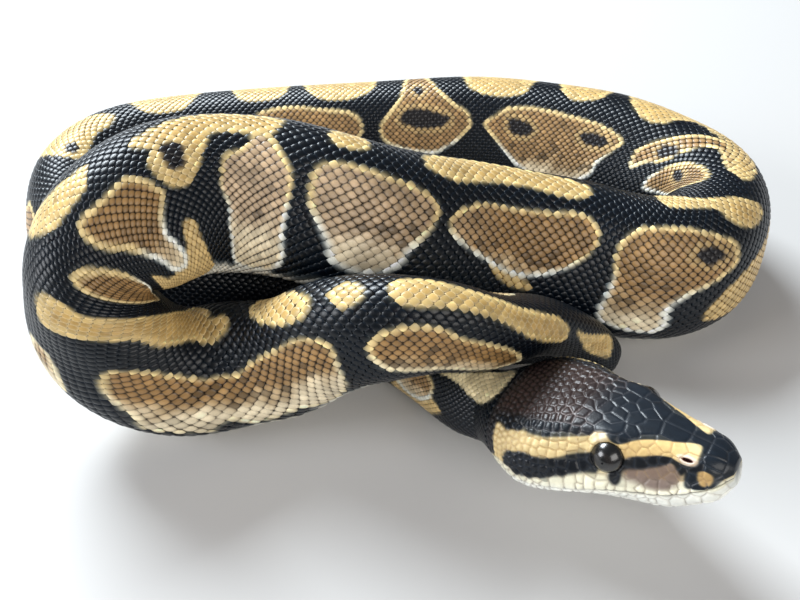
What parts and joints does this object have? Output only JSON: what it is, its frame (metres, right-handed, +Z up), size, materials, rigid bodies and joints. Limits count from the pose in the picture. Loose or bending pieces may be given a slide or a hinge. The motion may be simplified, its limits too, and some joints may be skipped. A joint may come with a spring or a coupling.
{
  "type": "coiled ball python",
  "caption": "Young ball python resting in a low coil, its body crossing over itself and its short blunt head raised in front, mouth closed.",
  "frame": {"origin": "middle of the footprint at floor level, the plane the belly rests on", "axes": "+Z up; +X along the coil's longest side, towards the side the head points to; -Y is the side the head is on"},
  "size_m": [0.1264, 0.0919, 0.0395],
  "materials": {
    "body_scales": "smooth overlapping scales, satin, dark brown-black with gold-brown blotches",
    "pale_scales": "smooth cream-white scales, satin",
    "head_scales": "smooth small plates, satin to glossy, near-black",
    "eye_lens": "wet glossy dark eye"
  },
  "bodies": {
    "root": {"head": "head_scales", "lower_jaw": "pale_scales", "eye_left": "eye_lens", "eye_right": "eye_lens", "neck": "body_scales", "trunk_01": "body_scales", "trunk_02": "body_scales", "trunk_03": "body_scales", "trunk_04": "body_scales", "trunk_05": "body_scales", "trunk_06": "body_scales", "trunk_07": "body_scales", "trunk_08": "body_scales", "trunk_09": "body_scales", "trunk_10": "body_scales", "trunk_11": "body_scales", "trunk_12": "body_scales", "trunk_13": "body_scales", "trunk_14": "body_scales", "trunk_15": "body_scales", "trunk_16": "body_scales", "trunk_17": "body_scales", "tail_base": "body_scales", "tail_tip": "body_scales"}
  },
  "joints": []
}
